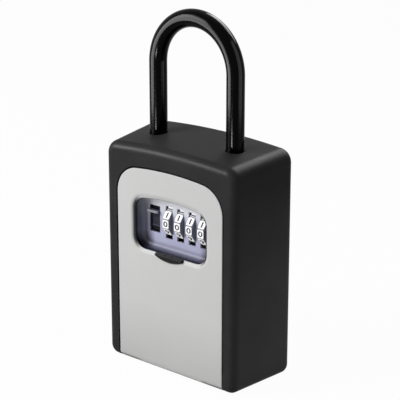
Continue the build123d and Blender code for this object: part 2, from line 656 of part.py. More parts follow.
def detent_comb():
    """Leaf springs behind the dials, one finger to each, on a shared foot."""
    front = DIAL_Y + DIAL_FLAT_R / cos(pi / DIGITS) + 0.15
    leaf_y = (front, front + 0.4)
    comb = block((-7.0, 19.4), (-6.5, leaf_y[1]), (SHELF_Z[1], SHELF_Z[1] + 0.4))
    comb += block((-7.0, 19.4), leaf_y, (SHELF_Z[1], 66.0))
    for x in dial_centres():
        comb += block((x - 1.6, x + 1.6), leaf_y, (65.0, 79.0))
    return comb


def cam_spring():
    start_x = dial_centres()[-1] + CAM_END
    length = RIB_RIGHT_X[0] - start_x - 0.7
    return Pos(start_x + 0.35, DIAL_Y, DIAL_Z) * Rot(0, 90, 0) * coil(2.1, 0.3, length, 3)


def release_spring():
    bottom = SHELF_Z[1] + 0.35
    length = 70.0 - bottom - 0.35
    return Pos(-14.7, BOLT_Y, bottom) * coil(1.5, 0.3, length, 5)


def latch_bolt():
    """Stamped plate: button arm, bar, four fingers for the cams' gates and the nose."""
    half = BOLT_THICK / 2
    y = (BOLT_Y - half, BOLT_Y + half)
    bolt = block((BOLT_LEFT, BOLT_RIGHT), y, BOLT_BAR_Z)
    bolt += block((-17.35, -12.3), y, (70.0, BOLT_BAR_Z[1]))
    nose = block((-NOSE_HALF, NOSE_HALF), y, (BOLT_BAR_Z[0], NOSE_TOP))
    bolt += chamfer(nose.edges().filter_by(Axis.Y).sort_by(Axis.Z)[-2:], 1.2)
    tip_z = DIAL_Z + CAM_TIP_R + FINGER_GAP
    for x in dial_centres():
        finger = (x + FINGER_START, x + FINGER_START + FINGER_WIDTH)
        bolt += block(finger, y, (tip_z, BOLT_BAR_Z[0] + 1))
    return bolt


def release_button():
    """Ribbed thumb slide with a finger lip at its top, guided behind the bezel."""
    face_y = BEZEL_FLOOR_Y + BUTTON_SUNK
    behind_y = BEZEL_FLOOR_Y + BEZEL_THICK + 0.2
    arm_y = BOLT_Y - BOLT_THICK / 2
    pad = block(BUTTON_X, (face_y, behind_y), BUTTON_Z)
    pad += block((BUTTON_X[0], -12.3), (behind_y - 0.5, arm_y), BUTTON_Z)
    pad += block((-18.4, -12.3), (behind_y, behind_y + 1.2), (68.6, 81.0))
    lip_y = BEZEL_FLOOR_Y - LIP_PROUD
    lip = block(LIP_X, (lip_y, face_y + 0.1), (BUTTON_Z[1] - 1.2, BUTTON_Z[1]))
    pad += fillet(lip.edges().filter_by(Axis.X).sort_by(Axis.Y)[:2], 0.35)
    ribs = int((BUTTON_Z[1] - 2.2 - BUTTON_Z[0]) / RIB_PITCH)
    for i in range(ribs):
        z = BUTTON_Z[0] + 0.9 + RIB_PITCH * i
        pad -= round_x(0.3, BUTTON_X[0] - 1, BUTTON_X[1] + 1, face_y, z)
    return pad


def reset_lever():
    """Code-change slide: a knob through the rear cover and a fork that shifts the cams."""
    base = block((-12.0, -5.2), (-2.0, FRAME_BACK_Y - 0.15), (53.4, 59.6))
    knob = block((-10.0, -5.9), (0, 3.2), (54.6, 58.4))
    knob = fillet(knob.edges().filter_by(Axis.Y), 0.8)
    fork = block(FORK_X, (-11.9, -1.0), (58.0, 79.0))
    fork -= round_x(1.75, FORK_X[0] - 1, FORK_X[1] + 1, DIAL_Y, DIAL_Z)
    return base + knob + fork


# ---------------------------------------------------------------- build
def main():
    os.makedirs("parts", exist_ok=True)
    save("case_cover", case_cover())
    save("back_plate", back_plate())
    save("case_screws", *case_screws())
    save("keeper", keeper())
    save("keeper_screws", *keeper_screws())
    save("mechanism_cover", mechanism_cover())
    save("mechanism_cover_screws", *mechanism_cover_screws())
    save("shackle_bushes", *shackle_bushes())
    save("hinge_pins", *hinge_pins())
    save("shackle_core", shackle_core())
    save("shackle_coating", shackle_coating())
    save("shackle_lock_plate", shackle_lock_plate())
    save("shackle_release_tab", shackle_release_tab())
    save("shackle_lock_spring", shackle_lock_spring())
    save("door_panel", door_panel())
    save("door_frame", door_frame())
    save("door_rear_cover", door_rear_cover())
    save("panel_screws", *panel_screws())
    save("rear_cover_screws", *rear_cover_screws())
    save("dial_bezel", dial_bezel())
    save("dial_shutter", dial_shutter())
    save("dial_axle", dial_axle())
    save("axle_clip", axle_clip())
    save("detent_comb", detent_comb())
    save("cam_spring", cam_spring())
    save("release_spring", release_spring())
    save("latch_bolt", latch_bolt())
    save("release_button", release_button())
    save("reset_lever", reset_lever())
    hub_left = FORK_X[1] + 0.05
    for number, x in enumerate(dial_centres(), start=1):
        save(f"dial_ring_{number}", dial_ring(x))
        save(f"code_cam_{number}", code_cam(x, hub_left))
        hub_left = x + CAM_END + 0.05


main()
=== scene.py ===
"""Finishes, dial numbers, shackle sleeve and a small studio for a key lock box."""

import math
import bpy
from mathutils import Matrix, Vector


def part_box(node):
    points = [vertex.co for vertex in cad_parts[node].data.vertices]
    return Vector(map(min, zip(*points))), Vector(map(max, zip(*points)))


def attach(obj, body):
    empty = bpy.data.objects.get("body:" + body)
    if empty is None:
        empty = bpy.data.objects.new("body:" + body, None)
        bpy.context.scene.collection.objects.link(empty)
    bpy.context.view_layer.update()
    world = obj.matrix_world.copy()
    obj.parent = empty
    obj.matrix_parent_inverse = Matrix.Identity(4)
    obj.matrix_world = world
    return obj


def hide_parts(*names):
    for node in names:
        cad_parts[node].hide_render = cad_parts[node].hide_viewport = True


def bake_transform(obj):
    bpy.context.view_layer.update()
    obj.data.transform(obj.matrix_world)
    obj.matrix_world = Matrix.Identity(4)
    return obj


bl_info = {
    "name": "Key lock box",
    "version": (1, 0, 0),
    "blender": (4, 5, 0),
    "location": "3D View > Sidebar > Lock Box",
    "description": "Dresses a key lock box with four code dials and lights it",
    "category": "Object",
}

import bmesh
import bpy
import numpy as np
from bpy.props import FloatProperty, FloatVectorProperty, IntProperty, PointerProperty
from bpy.types import Operator, Panel, PropertyGroup
from mathutils import Vector

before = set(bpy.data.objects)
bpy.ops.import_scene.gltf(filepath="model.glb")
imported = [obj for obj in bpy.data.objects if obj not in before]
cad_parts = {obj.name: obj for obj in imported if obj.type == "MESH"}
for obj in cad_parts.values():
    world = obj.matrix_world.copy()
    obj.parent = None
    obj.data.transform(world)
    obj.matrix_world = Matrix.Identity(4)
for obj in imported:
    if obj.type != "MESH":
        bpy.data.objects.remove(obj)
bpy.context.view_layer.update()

MM = 0.001
FULL_TURN = 2 * math.pi
X, Z = 0, 2

DIALS = (1, 2, 3, 4)
DIGITS = 10
DIGIT_STEP = FULL_TURN / DIGITS

# Plain colours, linear.
WHITE = (1.0, 1.0, 1.0, 1.0)
# Black primer, which the door's panel also uses as painted shade in its gaps and beside its
# window.
PRIMER_AND_SHADE = (0.004, 0.004, 0.004, 1.0)
# Painted shade towards the foot of the door's panel.
FOOT_SHADE = (0.10, 0.10, 0.10, 1.0)
COMPARTMENT_BLACK = (0.030, 0.030, 0.032, 1.0)
COVER_BLACK = (0.026, 0.026, 0.028, 1.0)
LEVER_BLACK = (0.022, 0.022, 0.024, 1.0)

# Painted light and shade on the lavender plastic: paler at the top, darker at the sides, darker
# still at the foot and darkest in the lower corners.
BEZEL_TOP_LIGHT = (0.96, 0.97, 1.0, 1.0)
BEZEL_SIDE_SHADE = (0.075, 0.075, 0.115, 1.0)
BEZEL_SHADE = (0.024, 0.024, 0.052, 1.0)
BEZEL_CORNER_SHADE = (0.008, 0.008, 0.018, 1.0)

# Painted highlight on the lip and painted shade in the grooves of the thumb slide.
THUMB_LIP_HIGHLIGHT = (0.34, 0.34, 0.36, 1.0)
THUMB_GROOVE_SHADE = (0.004, 0.004, 0.006, 1.0)

# Bands of the door's pieces, in millimetres: an axis, where the band starts and where it is full.
# Bands of the panel's black: primer on its back, painted shade on its rim and where its sheet
# turns back.
PANEL_BACK = ("Y", -19.15, -19.0)
PANEL_RIM = ("Y", -19.85, -19.65)
PANEL_ABOVE_ROLL = ("Z", 8.0, 10.0)
PANEL_SIDES = ("X", 25.5, 26.0)
PANEL_TOP = ("Z", 91.5, 92.0)
# Band of painted shade towards the panel's foot.
PANEL_FOOT = ("Z", 34.0, 2.0)
ROLL_ENDS = ("X", 18.5, 21.5)
ROLL_DEPTH = ("Y", -19.8, -19.3)
# Bands of painted light and shade on the bezel.
BEZEL_TOP = ("Z", 74.0, 84.0)
BEZEL_SIDES = ("X", 14.5, 20.5)
BEZEL_FOOT = ("Z", 64.2, 61.2)
SILL_FOOT = ("Z", 64.0, 61.5)
SILL_FRONT = ("Y", -14.0, -16.8)
CORNER_SIDES = ("X", 14.0, 19.0)
CORNER_FOOT = ("Z", 68.0, 62.5)
# Bands of painted shade and painted highlight on the thumb slide.
THUMB_GROOVES = ("Y", -12.78, -12.60)
THUMB_TOP = ("Z", 78.1, 78.5)
THUMB_FRONT = ("Y", -14.2, -15.0)

# Each metal's colour, its roughness, and how far its scratches are drawn out along X, Y, Z.
METALS = {
    "plated_screw": ((0.62, 0.62, 0.60, 1.0), 0.28, (1.0, 6.0, 1.0)),
    "panel_screw": ((0.62, 0.62, 0.60, 1.0), 0.28, (1.0, 6.0, 1.0)),
    "pressed_steel": ((0.52, 0.52, 0.53, 1.0), 0.32, (8.0, 1.0, 1.0)),
    "pin_steel": ((0.55, 0.55, 0.56, 1.0), 0.22, (6.0, 1.0, 1.0)),
    "ground_steel": ((0.56, 0.56, 0.57, 1.0), 0.22, (10.0, 1.0, 1.0)),
    "rod_steel": ((0.50, 0.50, 0.51, 1.0), 0.25, (1.0, 1.0, 10.0)),
    "spring_wire": ((0.40, 0.40, 0.42, 1.0), 0.26, (2.0, 2.0, 2.0)),
    "turned_brass": ((0.62, 0.44, 0.17, 1.0), 0.30, (1.0, 4.0, 4.0)),
}

# Lamps for all pieces, for the shell and for the labels. Each row, in metres: name, setting of
# its power, width, height, place, point it looks at.
SOFT_LAMPS = (
    ("key_lamp", "key", 0.50, 0.60, (-0.62, -0.76, 0.62), (0, 0, 0.08)),
    ("top_lamp", "top", 0.60, 0.45, (-0.10, 0.18, 0.95), (0, 0, 0.10)),
)
SHELL_LAMPS = (
    ("side_lamp", "side", 0.16, 0.12, (0.20, 0.12, 0.10), (0.20, 0.12, 0)),
)
LABEL_LAMPS = (
    ("low_lamp", "label_light", 0.30, 0.10, (-0.10, -0.50, 0.03), (0, 0, 0.075)),
)

# Lamps that show only as highlights, on the sleeve and on the shell.
SLEEVE_GLOWS = (
    ("left_strip", "left_glow", 0.22, 0.31, (-0.20, -0.225, 0.20), (0, 0, 0.20)),
    ("right_strip", "right_glow", 0.26, 0.46, (0.33, 0.055, 0.27), (0, 0, 0.27)),
    ("back_strip", "back_glow", 0.50, 0.34, (0, 0.45, 0.55), (0, 0, 0.14)),
    ("front_strip", "front_glow", 0.07, 0.03, (0, -0.33, 0.014), (0, 0, 0.12)),
)
SHELL_GLOWS = (
    ("shell_back", "shell_back", 0.40, 0.34, (0.02, 0.46, 0.54), (0, 0, 0.10)),
    ("shell_left", "shell_left", 0.20, 0.20, (-0.40, -0.43, 0.29), (0, 0, 0.11)),
)

# Rings of a cushion, from its face over its rim: size, and height as a share of its thickness.
CUSHION_RINGS = ((0.55, 1.0), (0.88, 1.0), (0.965, 0.92), (1.0, 0.55), (1.0, -0.6))

# Rings that round one lip of the sleeve.
LIP_RINGS = 5

# Numbers are drawn one unit high, then scaled. The ink reaches this far to each side of y = 0.
GLYPH_EXTRUDE = 0.01
GLYPH_RESOLUTION = 4
GLYPH_MERGE = 1e-5
INK_HALF = 0.012 * MM

# Floor and camera, in metres except for the lens and its sensor.
FLOOR_HALF = 2.5
LENS_MM = 138.06
SENSOR_MM = 36.0
CLIP_START = 0.01
CAMERA_PLACE = (0.450576, -0.526686, 0.314192)
CAMERA_HEADING = (-0.61502, 0.72265, -0.31548)


# ---------------------------------------------------------------- settings
def colour(name, text, value):
    """A colour setting, linear, opaque."""
    return FloatVectorProperty(
        name=name, description=text, subtype="COLOR", size=4, min=0.0, max=1.0,
        default=(*value, 1.0),
    )


def length(name, text, millimetres):
    """A length setting, written in millimetres and kept in metres."""
    return FloatProperty(
        name=name, description=text, unit="LENGTH", min=0.0, precision=5,
        default=millimetres * MM,
    )


def power(name, text, watts):
    """The power of a lamp."""
    return FloatProperty(name=name, description=text, unit="POWER", min=0.0, default=watts)


class LockBoxCase(PropertyGroup):
    """Finish of the shell and of the plates behind it."""

    powder: colour("Powder coat", "Black powder coat of the shell", (0.030, 0.030, 0.031))
    powder_grain: length("Powder grain", "Width of one grain of the powder coat", 0.42)
    edge_wear: colour("Worn edge", "Colour of the coat rubbed thin", (0.050, 0.050, 0.052))
    back: colour("Back plate", "Satin black paint of the back plate", (0.020, 0.020, 0.021))


class LockBoxDoor(PropertyGroup):
    """Finish of the door, its bezel and what slides in it."""

    panel: colour("Panel", "Satin silver paint of the door", (0.660, 0.660, 0.655))
    bezel: colour("Bezel", "Lavender plastic behind the window", (0.500, 0.507, 0.690))
    button: colour("Button", "Charcoal plastic of the button", (0.074, 0.071, 0.124))
    shutter: colour("Shutter", "Black plastic of the shutter", (0.010, 0.010, 0.010))
    zinc: colour("Cast zinc", "Bare casting of the door's frame", (0.36, 0.36, 0.37))


class LockBoxDials(PropertyGroup):
    """Number rings, their labels and the marks beside them."""

    wheel: colour("Wheel", "Slate plastic of the number rings", (0.200, 0.215, 0.255))
    label: colour("Label", "White of the labels and marks", (0.88, 0.88, 0.89))
    ink: colour("Ink", "Black of the numbers", (0.010, 0.010, 0.012))
    label_height: length("Label height", "Height of a label, along the flat", 4.1)
    label_margin: length("Label margin", "Bare rim at each side of a label", 0.08)
    label_thick: length("Label thickness", "How far a label stands off its flat", 0.05)
    digit_height: length("Digit height", "Height of a number", 2.75)
    digit_width: FloatProperty(
        name="Digit width", description="Stretch across, 1 for none", default=1.5,
    )
    digit_swell: FloatProperty(
        name="Digit swell", description="Thickening of the strokes", default=0.02,
    )
    mark_width: length("Mark width", "Width of an index mark", 2.1)
    mark_height: length("Mark height", "Height of an index mark", 0.6)
    mark_shift: length("Mark offset", "From the middle of a dial to its mark", 1.0)
    mark_depth: FloatProperty(
        name="Mark depth", description="Face of the bezel's floor, along Y", unit="LENGTH",
        default=-13.6 * MM,
    )
    mark_level: length("Mark level", "Height of the marks above the ground", 82.45)


class LockBoxShackle(PropertyGroup):
    """Sleeve on the shackle."""

    sleeve: colour("Sleeve", "Glossy black of the sleeve", (0.0015, 0.0015, 0.0016))
    radius: length("Radius", "Outer radius of the sleeve", 4.3)
    bore: length("Bore", "Inner radius of the sleeve", 3.74)
    lip: length("Lip", "Rounding of the sleeve's ends", 0.25)
    leg_x: length("Leg offset", "Distance of a leg from the middle", 23.6)
    bend_z: length("Bend height", "Height of the centre of the bend", 147.9)
    end_z: length("End height", "Height of the sleeve's two ends", 110.45)
    around: IntProperty(
        name="Around", description="Faces around the sleeve", default=56, min=12,
    )
    along: IntProperty(
        name="Along", description="Rings along the outside", default=220, min=40,
    )


class LockBoxStudio(PropertyGroup):
    """Floor, lamps and background."""

    key: power("Key", "Large soft lamp, front left", 9.1)
    top: power("Top", "Soft lamp overhead", 0.8)
    side: power("Side", "Light down along the right side of the shell", 0.6)
    label_light: power("Label light", "Low lamp on the dial labels", 1.2)
    left_glow: power("Left glow", "Highlight on the sleeve, left", 7.6)
    right_glow: power("Right glow", "Highlight on the sleeve, right", 3.8)
    back_glow: power("Back glow", "Highlight on the sleeve, behind", 14.0)
    front_glow: power("Front glow", "Short streak on the sleeve, in front", 0.8)
    shell_back: power("Shell back", "Sheen on the top of the shell", 22.0)
    shell_left: power("Shell left", "Sheen on the brow of the shell", 31.0)
    fill: FloatProperty(name="Fill", description="Light of the room", default=0.25, min=0.0)
    floor: colour("Floor", "Pale floor", (0.80, 0.80, 0.80))
    floor_white: FloatProperty(
        name="Floor white", description="Share of plain white in the floor as seen",
        default=0.97, min=0.0, max=1.0,
    )


class LockBoxSettings(PropertyGroup):
    """All settings of the lock box."""

    case: PointerProperty(type=LockBoxCase)
    door: PointerProperty(type=LockBoxDoor)
    dials: PointerProperty(type=LockBoxDials)
    shackle: PointerProperty(type=LockBoxShackle)
    studio: PointerProperty(type=LockBoxStudio)


# ---------------------------------------------------------------- finishes
def tinted(rgba, factor):
    """The same colour, lighter or darker."""
    return (*(min(1.0, c * factor) for c in rgba[:3]), 1.0)


class Finish:
    """A principled material whose colour, roughness and bump come from noise."""

    # Sockets of a Mix node that blends colours.
    MIX_FACTOR, MIX_FIRST, MIX_SECOND, MIX_RESULT = 0, 6, 7, 2

    # Cosine of the lean of a rounded normal, on a flat face and on a sharp edge.
    FLAT_LEAN, SHARP_LEAN = 0.985, 0.93
    EDGE_SAMPLES = 4

    def __init__(self, name, metallic=0.0, specular=0.5):
        self.material = bpy.data.materials.new(name)
        self.material.use_nodes = True
        tree = self.material.node_tree
        self.nodes = tree.nodes
        self.links = tree.links
        self.shader = tree.nodes["Principled BSDF"]
        self.shader.inputs["Metallic"].default_value = metallic
        self.shader.inputs["Specular IOR Level"].default_value = specular
        self.place = self.nodes.new("ShaderNodeTexCoord").outputs["Object"]
        self.normal = None

    def noise(self, size, detail=2.0, roughness=0.5, stretch=(1.0, 1.0, 1.0)):
        """Noise whose blobs are size metres wide, drawn out by stretch."""
        mapping = self.nodes.new("ShaderNodeMapping")
        mapping.inputs["Scale"].default_value = tuple(1.0 / s for s in stretch)
        texture = self.nodes.new("ShaderNodeTexNoise")
        texture.inputs["Scale"].default_value = 1.0 / size
        texture.inputs["Detail"].default_value = detail
        texture.inputs["Roughness"].default_value = roughness
        self.links.new(self.place, mapping.inputs["Vector"])
        self.links.new(mapping.outputs["Vector"], texture.inputs["Vector"])
        return texture.outputs["Fac"]

    def spread(self, value, low, high, start=0.3, end=0.7):
        """Map start..end to low..high, and hold it there outside."""
        node = self.nodes.new("ShaderNodeMapRange")
        node.inputs["From Min"].default_value = start
        node.inputs["From Max"].default_value = end
        node.inputs["To Min"].default_value = low
        node.inputs["To Max"].default_value = high
        self.links.new(value, node.inputs["Value"])
        return node.outputs["Result"]

    def coordinate(self, axis):
        """The place on the part along an axis, in metres."""
        apart = self.nodes.new("ShaderNodeSeparateXYZ")
        self.links.new(self.place, apart.inputs["Vector"])
        return apart.outputs[axis]

    def along(self, axis, start, end):
        """0 to 1 from start to end millimetres along an axis of the part."""
        return self.spread(self.coordinate(axis), 0.0, 1.0, start * MM, end * MM)

    def far(self, axis, start, end):
        """0 to 1 from start to end millimetres away from the middle, to both sides."""
        size = self.nodes.new("ShaderNodeMath")
        size.operation = "ABSOLUTE"
        self.links.new(self.coordinate(axis), size.inputs[0])
        return self.spread(size.outputs["Value"], 0.0, 1.0, start * MM, end * MM)

    def times(self, first, second):
        """Product of a link and a link or a number."""
        node = self.nodes.new("ShaderNodeMath")
        node.operation = "MULTIPLY"
        self.links.new(first, node.inputs[0])
        if isinstance(second, float):
            node.inputs[1].default_value = second
        else:
            self.links.new(second, node.inputs[1])
        return node.outputs["Value"]

    def edges(self, radius):
        """1 on sharp edges and 0 on flat faces, from how far a rounded normal leans."""
        rounded = self.nodes.new("ShaderNodeBevel")
        rounded.samples = self.EDGE_SAMPLES
        rounded.inputs["Radius"].default_value = radius
        flat = self.nodes.new("ShaderNodeNewGeometry")
        dot = self.nodes.new("ShaderNodeVectorMath")
        dot.operation = "DOT_PRODUCT"
        self.links.new(rounded.outputs["Normal"], dot.inputs[0])
        self.links.new(flat.outputs["Normal"], dot.inputs[1])
        return self.spread(dot.outputs["Value"], 0.0, 1.0, self.FLAT_LEAN, self.SHARP_LEAN)

    def mottle(self, value, base, dark, light, start=0.3, end=0.7):
        """A base colour that goes from dark to light times itself along a noise."""
        node = self.nodes.new("ShaderNodeValToRGB")
        stops = zip(node.color_ramp.elements, (start, end), (dark, light))
        for element, position, factor in stops:
            element.position = position
            element.color = tinted(base, factor)
        self.links.new(value, node.inputs["Fac"])
        return node.outputs["Color"]

    def blend(self, factor, tone, rgba):
        """The tone so far, with a colour laid over it by a factor."""
        node = self.nodes.new("ShaderNodeMix")
        node.data_type = "RGBA"
        self.links.new(factor, node.inputs[self.MIX_FACTOR])
        self.links.new(tone, node.inputs[self.MIX_FIRST])
        node.inputs[self.MIX_SECOND].default_value = rgba
        return node.outputs[self.MIX_RESULT]

    def bump(self, height, depth, strength=1.0):
        """Lay one more bump of depth metres over those before it."""
        node = self.nodes.new("ShaderNodeBump")
        node.inputs["Strength"].default_value = strength
        node.inputs["Distance"].default_value = depth
        self.links.new(height, node.inputs["Height"])
        if self.normal is not None:
            self.links.new(self.normal, node.inputs["Normal"])
        self.normal = node.outputs["Normal"]

    def done(self, tone, roughness):
        """The material, with its colour, roughness and bumps joined to the shader."""
        self.links.new(tone, self.shader.inputs["Base Color"])
        self.links.new(roughness, self.shader.inputs["Roughness"])
        if self.normal is not None:
            self.links.new(self.normal, self.shader.inputs["Normal"])
        return self.material


def powder_coat(look):
    """Matt powder coat: pebbled grain, faint cloudiness, edges rubbed a little lighter."""
    finish = Finish("powder_coat_black", specular=0.015)
    base = tuple(look.powder)
    cloud = finish.noise(22 * MM, detail=3.0)
    grain = finish.noise(look.powder_grain, roughness=0.6)
    tone = finish.mottle(cloud, base, 0.92, 1.10)
    pebbles = finish.spread(grain, 0.0, 0.35, 0.45, 0.75)
    tone = finish.blend(pebbles, tone, tinted(base, 1.7))
    patches = finish.spread(finish.noise(4 * MM, detail=4.0), 0.15, 0.7)
    rubbed = finish.times(finish.edges(1.1 * MM), patches)
    tone = finish.blend(rubbed, tone, tuple(look.edge_wear))
    finish.bump(grain, 0.035 * MM)
    finish.bump(finish.noise(1.6 * MM), 0.03 * MM, strength=0.5)
    return finish.done(tone, finish.spread(cloud, 0.39, 0.47))


def back_paint(look):
    """Satin black paint on pressed plate, with light orange peel."""
    finish = Finish("satin_black_paint", specular=0.35)
    peel = finish.noise(1.1 * MM)
    tone = finish.mottle(finish.noise(30 * MM, detail=3.0), tuple(look.back), 0.9, 1.15)
    rubbed = finish.times(finish.edges(0.6 * MM), 0.5)
    tone = finish.blend(rubbed, tone, tuple(look.edge_wear))
    finish.bump(peel, 0.02 * MM)
    return finish.done(tone, finish.spread(peel, 0.36, 0.46))


def silver_paint(look):
    """Satin silver paint: fine flake, black primer on its back, painted shade towards its foot,
    on its outer edges and beside the window.
    """
    finish = Finish("satin_silver_paint", specular=0.42)
    base = tuple(look.panel)
    flake = finish.noise(0.22 * MM, detail=1.0, roughness=0.4)
    tone = finish.mottle(finish.noise(30 * MM), base, 0.985, 1.015)
    bright_flake = finish.spread(flake, 0.0, 0.22, 0.5, 0.8)
    tone = finish.blend(bright_flake, tone, tinted(base, 1.22))
    dark_flake = finish.spread(flake, 0.16, 0.0, 0.2, 0.42)
    tone = finish.blend(dark_flake, tone, tinted(base, 0.80))
    # Black primer on the back, which also stands for the shade in the gaps behind the panel.
    tone = finish.blend(finish.along(*PANEL_BACK), tone, PRIMER_AND_SHADE)
    # Painted shade where the sheet turns back at both sides, as beside the window.
    roll = finish.times(finish.far(*ROLL_ENDS), finish.along(*ROLL_DEPTH))
    tone = finish.blend(roll, tone, PRIMER_AND_SHADE)
    # Painted shade on the outer edges, standing for the dark gap round the panel.
    rim = finish.times(finish.along(*PANEL_RIM), finish.along(*PANEL_ABOVE_ROLL))
    for outside in (finish.far(*PANEL_SIDES), finish.along(*PANEL_TOP)):
        tone = finish.blend(finish.times(rim, outside), tone, PRIMER_AND_SHADE)
    # Painted shade, darker towards the foot.
    foot = finish.times(finish.along(*PANEL_FOOT), 0.23)
    tone = finish.blend(foot, tone, FOOT_SHADE)
    finish.bump(finish.noise(1.2 * MM), 0.012 * MM, strength=0.6)
    return finish.done(tone, finish.spread(flake, 0.40, 0.50))


def bezel_plastic(look):
    """Satin lavender plastic: fine sparks, painted light towards its top, painted shade at its
    sides, foot, sill and lower corners.
    """
    finish = Finish("lavender_plastic", specular=0.35)
    base = tuple(look.bezel)
    spark = finish.noise(0.30 * MM)
    tone = finish.mottle(finish.noise(9 * MM, detail=3.0), base, 0.95, 1.05)
    sparkle = finish.spread(spark, 0.0, 0.12, 0.45, 0.8)
    tone = finish.blend(sparkle, tone, tinted(base, 1.25))
    sill = finish.times(finish.along(*SILL_FOOT), finish.along(*SILL_FRONT))
    corners = finish.times(finish.far(*CORNER_SIDES), finish.along(*CORNER_FOOT))
    # Painted light at the top, painted shade at the sides, foot, sill and lower corners.
    for band, share, rgba in (
        (finish.along(*BEZEL_TOP), 0.85, BEZEL_TOP_LIGHT),
        (finish.far(*BEZEL_SIDES), 0.80, BEZEL_SIDE_SHADE),
        (finish.along(*BEZEL_FOOT), 0.60, BEZEL_SHADE),
        (sill, 0.97, BEZEL_SHADE),
        (corners, 0.95, BEZEL_CORNER_SHADE),
    ):
        tone = finish.blend(finish.times(band, share), tone, rgba)
    finish.bump(spark, 0.012 * MM)
    return finish.done(tone, finish.spread(spark, 0.34, 0.42))


def thumb_plastic(look):
    """Charcoal plastic of the thumb slide: a painted highlight on its lip, painted shade in its
    grooves.
    """
    finish = Finish("button_charcoal", specular=0.18)
    fine = finish.noise(0.4 * MM)
    tone = finish.mottle(finish.noise(4 * MM, detail=3.0), tuple(look.button), 0.88, 1.12)
    # Painted shade on the deeper parts, in the grooves.
    tone = finish.blend(finish.along(*THUMB_GROOVES), tone, THUMB_GROOVE_SHADE)
    # Painted highlight along the top front of the lip.
    lip = finish.times(finish.along(*THUMB_TOP), finish.along(*THUMB_FRONT))
    tone = finish.blend(finish.times(lip, 0.9), tone, THUMB_LIP_HIGHLIGHT)
    finish.bump(fine, 0.012 * MM)
    return finish.done(tone, finish.spread(fine, 0.38, 0.48))


def moulded_plastic(name, base, roughness, specular=0.45):
    """Moulded plastic: fine grain, soft mottling and slightly paler edges."""
    finish = Finish(name, specular=specular)
    fine = finish.noise(0.4 * MM)
    tone = finish.mottle(finish.noise(6 * MM, detail=3.0), base, 0.88, 1.12)
    rubbed = finish.times(finish.edges(0.4 * MM), 0.45)
    tone = finish.blend(rubbed, tone, tinted(base, 1.9))
    finish.bump(fine, 0.012 * MM)
    return finish.done(tone, finish.spread(fine, roughness - 0.05, roughness + 0.05))


def sleeve_gloss(look):
    """Glossy dipped sleeve: clean, dark, with a very long soft waviness."""
    finish = Finish("gloss_black_sleeve", specular=0.03)
    wave = finish.noise(9 * MM, detail=1.0, stretch=(1.0, 1.0, 3.0))
    dust = finish.noise(0.9 * MM, detail=3.0)
    tone = finish.mottle(dust, tuple(look.sleeve), 0.9, 1.6, start=0.35, end=0.8)
    finish.bump(wave, 0.10 * MM, strength=0.35)
    finish.bump(dust, 0.004 * MM)
    return finish.done(tone, finish.spread(dust, 0.10, 0.15))


def cast_zinc(look):
    """Bare zinc casting: pitted, mottled, a little brighter on its edges."""
    finish = Finish("cast_zinc", metallic=0.85)
    base = tuple(look.zinc)
    blotch = finish.noise(4 * MM, detail=4.0, roughness=0.6)
    pits = finish.noise(0.6 * MM)
    tone = finish.mottle(blotch, base, 0.82, 1.15)
    rubbed = finish.times(finish.edges(0.5 * MM), 0.6)
    tone = finish.blend(rubbed, tone, tinted(base, 1.7))
    finish.bump(pits, 0.03 * MM)
    return finish.done(tone, finish.spread(blotch, 0.42, 0.58))


def drawn_metal(name):
    """Drawn or turned metal: scratches pulled out along the working direction."""
    base, roughness, stretch = METALS[name]
    finish = Finish(name, metallic=1.0)
    scratch = finish.noise(0.25 * MM, detail=3.0, stretch=stretch)
    stain = finish.noise(3 * MM, detail=3.0)
    tone = finish.mottle(stain, base, 0.86, 1.08)
    scored = finish.spread(scratch, 0.0, 0.35, 0.5, 0.75)
    tone = finish.blend(scored, tone, tinted(base, 0.62))
    finish.bump(scratch, 0.006 * MM)
    return finish.done(tone, finish.spread(scratch, roughness - 0.06, roughness + 0.08))


def label_white(look):
    """White label: printed film with a soft mottle."""
    finish = Finish("label_white", specular=0.45)
    cloud = finish.noise(1.2 * MM)
    tone = finish.mottle(cloud, tuple(look.label), 0.975, 1.0)
    finish.bump(finish.noise(0.3 * MM, detail=1.0), 0.006 * MM)
    return finish.done(tone, finish.spread(cloud, 0.34, 0.42))


def number_ink(look):
    """Black ink with slight thin spots."""
    finish = Finish("number_ink", specular=0.4)
    thin = finish.noise(0.4 * MM)
    tone = finish.mottle(thin, tuple(look.ink), 1.0, 2.4, start=0.35, end=0.85)
    return finish.done(tone, finish.spread(thin, 0.34, 0.46))


# ---------------------------------------------------------------- mesh and node helpers
def settings():
    """The settings kept in the scene."""
    return bpy.context.scene.lock_box


def dress(material, *names):
    """Give CAD nodes a finish, in their material slots only."""
    for name in names:
        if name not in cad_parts:
            raise RuntimeError(f"no node named {name}")
        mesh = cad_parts[name].data
        mesh.materials.clear()
        mesh.materials.append(material)


def new_object(name, data):
    """New object, linked to the scene."""
    item = bpy.data.objects.new(name, data)
    bpy.context.scene.collection.objects.link(item)
    return item


def mesh_object(name, material, points, corners, sizes):
    """New mesh object from its points, its faces' corners in a row and each face's count."""
    starts = np.concatenate(([0], np.cumsum(sizes)[:-1])).astype(np.int32)
    mesh = bpy.data.meshes.new(name)
    mesh.vertices.add(len(points))
    mesh.vertices.foreach_set("co", np.ascontiguousarray(points, dtype=np.float32).ravel())
    mesh.loops.add(len(corners))
    mesh.loops.foreach_set("vertex_index", corners)
    mesh.polygons.add(len(sizes))
    mesh.polygons.foreach_set("loop_start", starts)
    mesh.polygons.foreach_set("use_smooth", np.ones(len(sizes), dtype=bool))
    mesh.update(calc_edges=True)
    if mesh.validate():
        raise RuntimeError(f"{name} has a bad face")
    mesh.materials.append(material)
    return new_object(name, mesh)


def in_a_row(blocks):
    """Arrays of faces with equal corners each, as a row of corners and each face's count."""
    corners = np.concatenate([block.ravel() for block in blocks]).astype(np.int32)
    sizes = np.concatenate([np.full(len(block), block.shape[1]) for block in blocks])
    return corners, sizes


